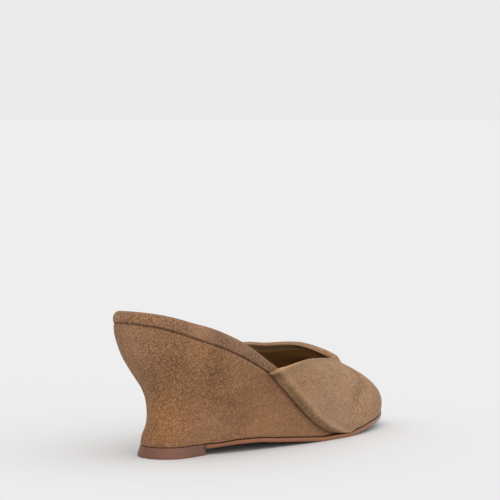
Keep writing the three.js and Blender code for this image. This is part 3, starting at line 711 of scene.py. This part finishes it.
def suede(name, base, spots, shade, mottle, rough_at):
    """Brushed suede: pale tips on a darker pile, and soft nap marks, both as strong as mottle.
    Each of the spots is a place, a radius, how much it lightens and how much it warms. shade adds
    the painted light and shade that follow the edges, seams and folds of the piece. The nap
    stands up most around rough_at.
    is darker it is also warmer."""
    f = Finish(name)
    grain = f.noise(1050, 2.0, 0.7)
    pile = f.noise(640, 2.0, 0.6)
    nap = f.noise(110, 3.0, 0.6, f.stretched((1.0, 0.6, 1.5)))
    blotch = f.noise(40, 3.0, 0.6)
    cloud = f.noise(15, 1.0, 0.5)
    speckle = f.step(grain, 0.42, 0.70) * 0.52 + f.step(pile, 0.35, 0.68) * 0.2 - 0.26
    speckle = speckle * mottle * (1.0 + f.spot(rough_at, 0.085) * 0.9)
    shading = ((nap - 0.5) * 0.4 + (blotch - 0.5) * 0.5 + (cloud - 0.5) * 0.3) * mottle
    warmth = 0.5 + (cloud - 0.5) * 0.8 + (blotch - 0.5) * 0.5
    for place, radius, lift, warming in spots:
        spot = f.spot(place, radius)
        shading = shading + spot * lift
        warmth = warmth + spot * warming
    # Painted light and shade along the piece's edges, seams and folds.
    lift, warming = shade(f)
    shading = shading + lift
    warmth = warmth + warming - shading * 0.9 - speckle * 0.3
    cool = tuple(value * scale for value, scale in zip(base, (0.98, 1.0, 1.09)))
    warm = tuple(min(1.0, value * scale) for value, scale in zip(base, (1.05, 0.98, 0.88)))
    paint = f.toned(f.mixed(cool, warm, warmth), 1.0 + speckle + shading)
    relief = f.bump(grain * 0.6 + pile * 0.4, 0.0006, 0.8)
    return f.finish(
        Base_Color=paint,
        Roughness=0.95,
        Normal=relief,
        Specular_IOR_Level=0.12,
        Sheen_Weight=0.12,
        Sheen_Roughness=0.5,
        Sheen_Tint=(1.0, 0.84, 0.66, 1.0),
    )


def vamp_shade(f):
    """Painted light and shade along the vamp's edges: painted shade where the rear edge rolls over,
    a painted highlight on the soft crest in front of it, painted shade in a band along the
    topline, a painted highlight on the topline's edge on the near side, painted light at the
    top of the suede turned in behind the topline with painted shade deeper in, and on the folds
    a painted highlight on top and painted shade below."""
    rear, top, fold, inside = f.mark("rear"), f.mark("top"), f.mark("fold"), f.mark("inside")
    # Painted shade where the rear edge rolls over, and a painted highlight on the crest in front of it.
    # The painted shade is also warmer.
    rolled = f.step(rear, 3.5 * MM, 8 * MM, 1.0, 0.0)
    ridge_highlight = f.step(rear, 6 * MM, 9 * MM) * f.step(rear, 9 * MM, 15 * MM, 1.0, 0.0)
    # Painted shade in a band along the topline, and a warmer painted highlight on its edge on the near
    # side only.
    topline_shade = f.step(top, 2 * MM, 4 * MM) * f.step(top, 5 * MM, 12 * MM, 1.0, 0.0)
    edge_highlight = f.step(top, 1.4 * MM, 3.2 * MM, 1.0, 0.0) * f.mark("near")
    # Painted light at the top of the suede turned in behind the topline, and painted shade deeper in,
    # which is also warmer.
    turned_in = f.step(top, 1.8 * MM, 4.5 * MM, 0.4, -0.2) * inside
    # The folds get a painted highlight on their tops and painted shade in their valleys.
    lift = rolled * -0.34 + ridge_highlight * 0.1 + topline_shade * -0.12 + edge_highlight * 0.45 + fold * 0.32 + turned_in
    return lift, edge_highlight * 0.9 + inside * 0.5 + rolled * 0.3


def seam_shade(f):
    """The seam between the rim and the wedge is drawn in, and painted shade darkens it."""
    return f.step(f.mark("seam"), 0.1 * MM, 1.4 * MM, -0.45, 0.0), 0.0


def leather(name, base, roughness, pores=900, wear=()):
    """Smooth leather with pores, fine wrinkles and soft stains."""
    f = Finish(name)
    pore = f.cells(pores)
    wrinkle = f.noise(240, 4.0, 0.6)
    stain = f.noise(24, 3.0, 0.5)
    tone = 1.0 + (wrinkle - 0.5) * 0.24 + (stain - 0.5) * 0.34
    for place, radius, lift in wear:
        tone = tone + f.spot(place, radius) * lift
    relief = f.bump(pore * 0.5 + wrinkle * 0.5, 0.00018, 0.5)
    return f.finish(
        Base_Color=f.toned(base, tone),
        Roughness=f.step(stain, 0.2, 0.8, roughness - 0.08, roughness + 0.1),
        Normal=relief,
        Specular_IOR_Level=0.35,
    )


# Operators, one for each piece

class PieceOperator:
    """What the operators of the pieces share."""

    bl_options = {"REGISTER", "UNDO"}

    def last(self, context):
        return Last(context.scene.mule_sizes)


class MULE_OT_vamp(PieceOperator, bpy.types.Operator):
    """Make the suede vamp with its rolled edges and soft creases"""

    bl_idname = "mule.vamp"
    bl_label = "Vamp"

    def execute(self, context):
        last = self.last(context)
        vamp = Vamp(last)
        grid = crowded(vamp.ROUND_STEPS, 0.72), crowded(vamp.UP_STEPS, 0.85)
        points, marks = vamp.sheet(*np.meshgrid(*grid, indexing="ij"))
        spots = last.spots(
            (36, 138, 34, 20, 0.14, 0.2),
            (37.4, 155.8, 19.9, 30, 0.14, -0.1),
            (33, 215, 22, 30, -0.12, 0),
            (18, 176, 47, 20, -0.02, 0.2),
            (36, 120, 38, 20, -0.06, 0.5),
            (29, 140, 47, 20, -0.1, 0.3),
            (34.5, 98, 48, 10, -0.16, 0.2),
            (31, 197, 16, 11, -0.14, 0.2),
        )
        base = context.scene.mule_colours.vamp
        material = suede("suede of the vamp", base, spots, vamp_shade, 0.75, last.place(26, 190, 30))
        new_piece(context, "vamp_suede", last.to_frame(points), material, "vamp", marks)
        return {"FINISHED"}


class MULE_OT_lining(PieceOperator, bpy.types.Operator):
    """Make the leather lining behind the turned-in edge of the vamp"""

    bl_idname = "mule.lining"
    bl_label = "Lining"

    def execute(self, context):
        last = self.last(context)
        turned_in = 5.6 * MM
        rib_length = 78 * MM
        side = 0.045
        wide, high = np.meshgrid(crowded(200, 0.6), crowded(50, 0.8), indexing="ij")
        way_round, up = mix(side, 1 - side, wide), high * (1 - turned_in / rib_length)
        points = Vamp(last).lining(way_round, up, sunk=0.1 * MM, thickness=0.45 * MM)
        material = leather("leather of the lining", context.scene.mule_colours.lining, 0.55)
        new_piece(context, "vamp_lining", last.to_frame(points), material)
        return {"FINISHED"}


def rim_profile(sizes):
    """The padded rim from the seam over the wedge up and into the dish: how far each place
    stands in from the edge, its share of the rim's depth, and how far it sinks into the dish."""
    margin = sizes.sock_margin
    return (
        (sizes.seam_depth, 0, 0),
        (0.25 * sizes.seam_depth, 0.12, 0),
        (0, 0.36, 0),
        (0.06 * margin, 0.62, 0),
        (0.26 * margin, 0.83, 0),
        (0.52 * margin, 0.96, 0),
        (0.78 * margin, 1, 0.06),
        (margin, 1, 0.5),
    )


class MULE_OT_footbed(PieceOperator, bpy.types.Operator):
    """Make the padded suede rim and the dish that the sock lies in"""

    bl_idname = "mule.footbed"
    bl_label = "Padded footbed"

    def execute(self, context):
        last = self.last(context)
        plain = self.shape(last)
        # How far above the seam each place lies, where the rim's suede gets painted shade.
        marks = {"seam": plain[..., 2] - last.footbed_under(plain[..., 1])}
        points = last.to_frame(tucked(plain, Vamp(last), fade=9 * MM))
        spots = last.spots(
            (-14, 4, 90, 16, 0.16, 0.5),
            (10, 2, 88, 18, 0.06, 0.7),
            (26, 24, 84, 20, -0.1, 0.2),
            (31, 62, 70, 30, -0.14, -0.2),
            (32, 92, 60, 35, -0.2, -0.1),
        )
        base = context.scene.mule_colours.rim
        material = suede("suede of the rim", base, spots, seam_shade, 1.0, last.place(0, 0, 90))
        rim = new_piece(context, "footbed_rim", points, material, "footbed", marks)
        return {"FINISHED"}

    def shape(self, last):
        sizes = last.sizes
        ring, inward, middle = last.footbed_ring()
        rows = []
        seam = ring + inward * sizes.seam_depth
        for share in (1, 0.75, 0.5, 0.25, 0.1):
            place = mix(seam, middle, share)
            rows.append(raised(place, last.footbed_under(place[:, 1])))
        profile = np.array(rim_profile(sizes))
        for at in np.linspace(0, len(profile) - 1, 6 * (len(profile) - 1) + 1):
            inset, rise, sink = (smooth_through(column, np.array([at]))[0] for column in profile.T)
            place = ring + inward * (inset + self.wrinkle(ring, rise))[:, None]
            under, crest = last.footbed_under(place[:, 1]), last.crest(place[:, 1])
            rows.append(raised(place, mix(under, crest, rise) - sink * sizes.dish_depth))
        edge = ring + inward * sizes.sock_margin
        for share in (0.08, 0.2, 0.4, 0.6, 0.8, 1):
            place = mix(edge, middle, share)
            rows.append(raised(place, last.dish(place[:, 1], share)))
        return np.stack(rows, axis=1)

    def wrinkle(self, ring, rise):
        """A small pinch in the suede where it turns round the heel, and a soft unevenness."""
        pinch_at = np.array([-17.5, 6.0]) * MM
        away = np.linalg.norm(ring - pinch_at, axis=1)
        pinch = 0.5 * MM * hump(away, 0, 1.7 * MM) * hump(rise, 0.62, 0.4)
        waves = unevenness(raised(ring * 90, rise * 1.5))
        return pinch + 0.16 * MM * waves * hump(rise, 0.5, 0.5)


class MULE_OT_sock(PieceOperator, bpy.types.Operator):
    """Make the leather sock in the dish"""

    bl_idname = "mule.sock"
    bl_label = "Leather sock"

    def execute(self, context):
        last = self.last(context)
        sizes = last.sizes
        ring, inward, middle = last.footbed_ring()
        gap, bedding = 0.3 * MM, 0.1 * MM
        edge = ring + inward * (sizes.sock_margin + gap)
        thick = sizes.sock_thickness
        under = [(share, bedding) for share in (1, 0.7, 0.4, 0.15, 0.02)]
        side = [(0, 0.25 * thick), (0, 0.7 * thick), (0.012, 0.95 * thick)]
        over = [(share, thick) for share in (0.03, 0.08, 0.15, 0.25, 0.4, 0.55, 0.7, 0.85, 1)]
        rows = []
        for share, lift in under + side + over:
            place = mix(edge, middle, share)
            rows.append(raised(place, last.dish(place[:, 1], share) + lift))
        points = last.to_frame(np.stack(rows, axis=1))
        wear = last.spots((0, 34, 88, 30, -0.16), (0, 165, 8, 50, -0.12))
        material = leather("leather of the sock", context.scene.mule_colours.sock, 0.5, 1100, wear)
        new_piece(context, "insole_sock", points, material, "insole")
        return {"FINISHED"}


class MULE_OT_wedge(PieceOperator, bpy.types.Operator):
    """Make the suede cover of the wedge, hollowed at the back"""

    bl_idname = "mule.wedge"
    bl_label = "Wedge cover"

    EDGE_ROUND = 1.1 * MM
    SEAM_GAP = 0.1 * MM

    def execute(self, context):
        last = self.last(context)
        plain = self.shape(last)
        # How far below the seam each place lies, where the wedge's suede gets painted shade.
        marks = {"seam": last.footbed_under(plain[..., 1]) - plain[..., 2]}
        points = tucked(plain, Vamp(last), fade=7 * MM)
        spots = last.spots(
            (24, 53, 48, 24, -0.22, 0),
            (21.1, 26.1, 56.8, 22, -0.06, 0.1),
            (25.2, 71.8, 27.5, 20, -0.12, 0),
            (24, 40, 70, 18, -0.08, 0.1),
            (7, 25, 26, 30, 0.14, 0.7),
            (20.5, 58.3, 18.8, 24, 0.06, -0.4),
            (32.2, 111.9, 30.5, 30, 0.03, 0),
            (30, 95, 45, 30, -0.08, 0),
            (3, 3.6, 75, 26, 0.3, -0.4),
            (15, 24, 49, 18, 0.12, 0.1),
            (26.5, 75, 20, 22, -0.08, -0.2),
        )
        base = context.scene.mule_colours.wedge
        material = suede("suede of the wedge", base, spots, seam_shade, 1.0, last.place(14, 26, 50))
        points = last.to_frame(points)
        new_piece(context, "wedge_cover", points, material, "wedge", marks)
        return {"FINISHED"}

    def foot(self, last, side, turned, y):
        """Places of the wedge's foot: round the lift at the back, along the sole before it."""
        sizes = last.sizes
        angle = turned * math.pi / 2
        half = 0.5 * sizes.lift_width
        lift_x = side * (half - 0.5 * sizes.lift_flare) * np.sin(angle)
        lift_y = sizes.lift_setback + half * (1 - np.cos(angle))
        full = sizes.lift_setback + half
        along = (y - last.seat_arc) / (last.wedge_front - last.seat_arc)
        foot_y = np.where(turned < 1, lift_y, mix(full, last.wedge_front, along))
        beside = np.maximum(foot_y, last.lift_front)
        sole_x = last.plan_x(last.sole_plan, side, beside, sizes.shoe_length)
        sole_x = sole_x - side * sizes.feather_inset
        ease = smoothstep(foot_y, full, last.lift_front + 0.04 * sizes.shoe_length)
        return np.stack((mix(lift_x, sole_x, np.where(turned < 1, 0, ease)), foot_y), -1)

    def scoop(self, last, y):
        sizes = last.sizes
        turn = smoothstep(y, 0.15 * last.seat_arc, 1.25 * last.seat_arc)
        fade = 1 - smoothstep(y, last.seat_arc, 0.46 * sizes.shoe_length)
        return mix(sizes.heel_scoop, sizes.side_scoop * fade, turn)

    def shape(self, last):
        sizes = last.sizes
        sides = []
        for side in (1, -1):
            places, turned = last.footbed_edge(side, sizes.shoe_length)
            kept = places[:, 1] < last.wedge_front
            places, turned = places[kept], turned[kept]
            sides.append((places, self.foot(last, side, turned, places[:, 1])))
        ring = np.concatenate((sides[0][0], sides[1][0][::-1]))
        foot = np.concatenate((sides[0][1], sides[1][1][::-1]))
        inward = inward_of(ring)
        front = len(sides[0][0])
        inward[front - 1], inward[front] = (-1, 0), (1, 0)
        top = ring + inward * sizes.rim_overhang
        low = last.wedge_under(foot[:, 1])
        tall = last.footbed_under(top[:, 1]) - self.SEAM_GAP - low
        corner = np.minimum(self.EDGE_ROUND, 0.3 * tall)
        foot_middle = np.maximum(foot[:, 1], sizes.lift_setback + 0.5 * sizes.lift_width)
        rows = []
        for share in (0, 0.5, 0.9):
            place = np.stack((foot[:, 0] * share, mix(foot_middle, foot[:, 1], share)), -1)
            rows.append(raised(place, last.wedge_under(place[:, 1])))
        quarter = np.linspace(0, math.pi / 2, 6)
        side_rows = [(corner * (1 - math.sin(a)), corner * (1 - math.cos(a))) for a in quarter]
        for share in np.linspace(0, 1, 50)[1:-1]:
            side_rows.append((0 * corner, mix(corner, tall - corner, share)))
        side_rows += [(corner * (1 - math.cos(a)), tall - corner * (1 - math.sin(a))) for a in quarter]
        for inset, rise in side_rows:
            share = (rise / tall)[:, None]
            hollow = self.scoop(last, ring[:, 1])[:, None] * last.hollow.read("depth", share)
            waves = 0.8 * MM * share * (1 - share)
            rough = unevenness(raised(ring, low + rise) * 45)[:, None]
            place = mix(foot, top, share) + inward * (hollow + inset[:, None] + waves * rough)
            rows.append(raised(place, low + rise))
        middle_y = np.clip(ring[:, 1], last.seat_arc, ring[front, 1])
        for share in (0.1, 0.35, 0.7, 1):
            y = mix(top[:, 1], middle_y, share)
            place = np.stack((top[:, 0] * (1 - share), y), -1)
            rows.append(raised(place, last.footbed_under(y) - self.SEAM_GAP))
        return np.stack(rows, axis=1)


def slab(last, middle, outline, height, under, edge):
    """A slab from the middle of its under side round its edge to the middle of its top, and
    the mark rise, which is 0 below and 1 on top. under holds shares of the way out, and edge
    how far in from the outline in millimetres, and how far up."""
    rows, rises = [], []

    def add(share, rise):
        place = mix(middle, outline(rise), share)
        rows.append(raised(place, height(place[:, 1], rise)))
        rises.append(rise)

    for share in under:
        add(share, 0)
    for inset, rise in edge:
        reach = np.linalg.norm(outline(rise) - middle, axis=1)[:, None]
        add(1 - np.minimum(inset * MM / np.maximum(reach, MM), 0.3), rise)
    for share in (0.9, 0.5, 0):
        add(share, 1)
    points = last.to_frame(np.stack(rows, axis=1))
    return points, {"rise": np.broadcast_to(np.array(rises, dtype=float), points.shape[:2])}


class MULE_OT_outsole(PieceOperator, bpy.types.Operator):
    """Make the leather outsole with its rounded edge"""

    bl_idname = "mule.outsole"
    bl_label = "Outsole"

    def execute(self, context):
        last = self.last(context)
        sizes = last.sizes
        start = last.lift_front + sizes.fit_gap
        cap = np.sin(np.linspace(0, math.pi / 2, 48))
        y = np.linspace(start, last.cap_from, 110, endpoint=False)
        y = np.concatenate((y, mix(last.cap_from, sizes.shoe_length, cap)))
        outer, inner = (np.stack((last.plan_x(last.sole_plan, side, y, sizes.shoe_length), y), -1)
                        for side in (1, -1))
        ring = np.concatenate((outer, inner[-2::-1], outer[:1]))
        middle = last.middle(ring[:, 1], start, 0.94 * sizes.shoe_length)

        def outline(rise):
            return ring

        def height(y, rise):
            return mix(last.sole_under(y), last.sole_top(y), rise)

        edge = ((0.9, 0), (0.3, 0.06), (0.06, 0.25), (0, 0.5), (0.04, 0.8), (0.3, 0.97), (0.8, 1))
        points, marks = slab(last, middle, outline, height, (0, 0.3, 0.6, 0.9), edge)
        material = sole_leather(context.scene.mule_colours.sole, last.place(20, 235, 8))
        new_piece(context, "outsole_leather", points, material, "outsole", marks)
        return {"FINISHED"}


def sole_leather(base, toe):
    """Polished edge of a leather sole, with a painted shadow line at the feather, painted shade on its
    under side, and a greyer toe.
    """
    f = Finish("leather of the sole")
    fibre = f.noise(520, 3.0, 0.6, f.stretched((1.0, 1.0, 3.0)))
    stain = f.noise(30, 2.0, 0.5)
    rise = f.mark("rise")
    tone = 1.0 + (fibre - 0.5) * 0.3 + (stain - 0.5) * 0.3
    # Painted shadow along the top of the edge at the feather, and painted shade on the under side.
    tone = tone - f.step(rise, 0.72, 0.98) * 0.45 - f.step(rise, 0.0, 0.05, 1.0, 0.0) * 0.7
    # The sole turns greyer around the toe.
    toe_greyed = f.mixed(base, srgb(140, 112, 108), f.spot(toe, 0.05) * 0.7)
    return f.finish(
        Base_Color=f.toned(toe_greyed, tone),
        Roughness=f.step(stain, 0.2, 0.8, 0.34, 0.5),
        Normal=f.bump(fibre, 0.00015, 0.4),
        Coat_Weight=0.12,
        Coat_Roughness=0.35,
    )


class MULE_OT_heel_lift(PieceOperator, bpy.types.Operator):
    """Make the rubber heel lift with its bevelled edge"""

    bl_idname = "mule.heel_lift"
    bl_label = "Heel lift"

    def execute(self, context):
        last = self.last(context)
        sizes = last.sizes
        angle = np.linspace(0, math.pi / 2, 30)
        middle = np.array([0, 0.5 * (sizes.lift_setback + last.lift_front)])
        high = sizes.lift_thickness - sizes.fit_gap

        def outline(rise):
            """The lift's outline at a share of its height: it flares down to the ground."""
            flare = sizes.lift_flare * rise
            half = 0.5 * sizes.lift_width - 0.5 * flare
            back = sizes.lift_setback + flare - sizes.lift_flare
            y = back + 0.5 * sizes.lift_width * (1 - np.cos(angle))
            straight = np.linspace(y[-1], last.lift_front, 9)[1:]
            x = np.concatenate((half * np.sin(angle), np.full(8, half)))
            side = np.stack((x, np.concatenate((y, straight))), -1)
            front = np.stack((np.linspace(half, -half, 11)[1:-1], np.full(9, last.lift_front)), -1)
            return np.concatenate((side, front, (side * (-1, 1))[::-1]))

        def height(y, rise):
            return rise * high

        edge = ((0.9, 0), (0.35, 0.03), (0, 0.1), (0, 0.3), (0, 0.66), (0, 0.94), (0.1, 0.98),
                (0.35, 1))
        points, marks = slab(last, middle, outline, height, (0, 0.5, 0.95), edge)
        # Painted light on the lift: painted shade at the outer front and the inner back, and a painted
        # highlight between them.
        painted_light_spots = last.spots((19, 44, 4, 16, -0.2), (-4, 16, 4, 12, -0.14), (14, 24, 5, 12, 0.08))
        material = lift_rubber(context.scene.mule_colours.lift, painted_light_spots)
        new_piece(context, "heel_lift_rubber", points, material, "heel_lift", marks)
        return {"FINISHED"}


def lift_rubber(base, painted_light_spots):
    """Matt rubber with a painted highlight on the bevel at its bottom edge. Each of the painted light
    spots is a place, a radius and how much it lightens; where it darkens it is painted shade."""
    f = Finish("rubber of the lift")
    speck = f.noise(900, 3.0, 0.6)
    stain = f.noise(60, 2.0, 0.5)
    tone = 1.0 + (speck - 0.5) * 0.24 + (stain - 0.5) * 0.2
    # Painted highlight on the bevel at the bottom edge.
    tone = tone + f.step(f.mark("rise"), 0.0, 0.16, 0.3, 0.0)
    for place, radius, lift in painted_light_spots:
        tone = tone + f.spot(place, radius) * lift
    return f.finish(
        Base_Color=f.toned(base, tone),
        Roughness=0.62,
        Normal=f.bump(speck, 0.00012, 0.5),
        Specular_IOR_Level=0.35,
    )


class MULE_OT_stage(bpy.types.Operator):
    """Lay the floor, and place the soft light and the camera"""

    bl_idname = "mule.stage"
    bl_label = "Stage"
    bl_options = {"REGISTER", "UNDO"}

    FLOOR_SIZE = 60.0
    SKY = 0.83
    CAMERA_PLACE = (0.95734, -1.04664, 0.2191)
    CAMERA_TURN = (86.25, 0.0, 42.65)
    CAMERA_LENS = 155.35
    CAMERA_SENSOR = 36
    SUN_FROM = (0.75, 0.15, 0.9)
    SUN_STRENGTH = 0.9
    SUN_SPREAD = 110.0

    def execute(self, context):
        self.floor(context)
        self.sky(context)
        self.sun(context)
        self.camera(context)
        return {"FINISHED"}

    def floor(self, context):
        bm = bmesh.new()
        bmesh.ops.create_grid(bm, x_segments=12, y_segments=12, size=0.5 * self.FLOOR_SIZE)
        mesh = bpy.data.meshes.new("floor")
        bm.to_mesh(mesh)
        bm.free()
        floor = bpy.data.objects.new("floor", mesh)
        context.scene.collection.objects.link(floor)
        f = Finish("floor paint")
        mesh.materials.append(f.finish(
            Base_Color=opaque(context.scene.mule_colours.floor), Roughness=1.0, Specular_IOR_Level=0.0))

    def sky(self, context):
        world = bpy.data.worlds.new("studio")
        world.use_nodes = True
        background = world.node_tree.nodes["Background"]
        background.inputs["Color"].default_value = (self.SKY, self.SKY, self.SKY, 1)
        background.inputs["Strength"].default_value = 1
        context.scene.world = world
        context.scene.view_settings.view_transform = "Standard"

    def sun(self, context):
        light = bpy.data.lights.new("soft_key", "SUN")
        light.energy = self.SUN_STRENGTH
        light.angle = math.radians(self.SUN_SPREAD)
        lamp = bpy.data.objects.new("soft_key", light)
        lamp.rotation_euler = Vector(self.SUN_FROM).to_track_quat("Z", "Y").to_euler()
        context.scene.collection.objects.link(lamp)

    def camera(self, context):
        lens = bpy.data.cameras.new("camera")
        lens.lens = self.CAMERA_LENS
        lens.sensor_width = self.CAMERA_SENSOR
        camera = bpy.data.objects.new("camera", lens)
        camera.location = self.CAMERA_PLACE
        camera.rotation_euler = [math.radians(angle) for angle in self.CAMERA_TURN]
        context.scene.collection.objects.link(camera)
        context.scene.camera = camera


PIECE_OPERATORS = (
    MULE_OT_outsole, MULE_OT_heel_lift, MULE_OT_wedge, MULE_OT_footbed,
    MULE_OT_sock, MULE_OT_lining, MULE_OT_vamp, MULE_OT_stage,
)


class MULE_PT_panel(bpy.types.Panel):
    """The mule's pieces, sizes and colours"""

    bl_idname = "MULE_PT_panel"
    bl_label = "Wedge mule"
    bl_space_type = "VIEW_3D"
    bl_region_type = "UI"
    bl_category = "Mule"

    def draw(self, context):
        for operator in PIECE_OPERATORS:
            self.layout.operator(operator.bl_idname)
        for group in (context.scene.mule_sizes, context.scene.mule_colours):
            box = self.layout.box()
            for name in group.__annotations__:
                box.prop(group, name)


CLASSES = (MuleSizes, MuleColours, *PIECE_OPERATORS, MULE_PT_panel)


def register():
    for entry in CLASSES:
        bpy.utils.register_class(entry)
    bpy.types.Scene.mule_sizes = PointerProperty(type=MuleSizes)
    bpy.types.Scene.mule_colours = PointerProperty(type=MuleColours)


def unregister():
    del bpy.types.Scene.mule_colours
    del bpy.types.Scene.mule_sizes
    for entry in reversed(CLASSES):
        bpy.utils.unregister_class(entry)


def main():
    register()
    bpy.ops.mule.outsole()
    bpy.ops.mule.heel_lift()
    bpy.ops.mule.wedge()
    bpy.ops.mule.footbed()
    bpy.ops.mule.sock()
    bpy.ops.mule.lining()
    bpy.ops.mule.vamp()
    bpy.ops.mule.stage()


if __name__ == "__main__":
    main()
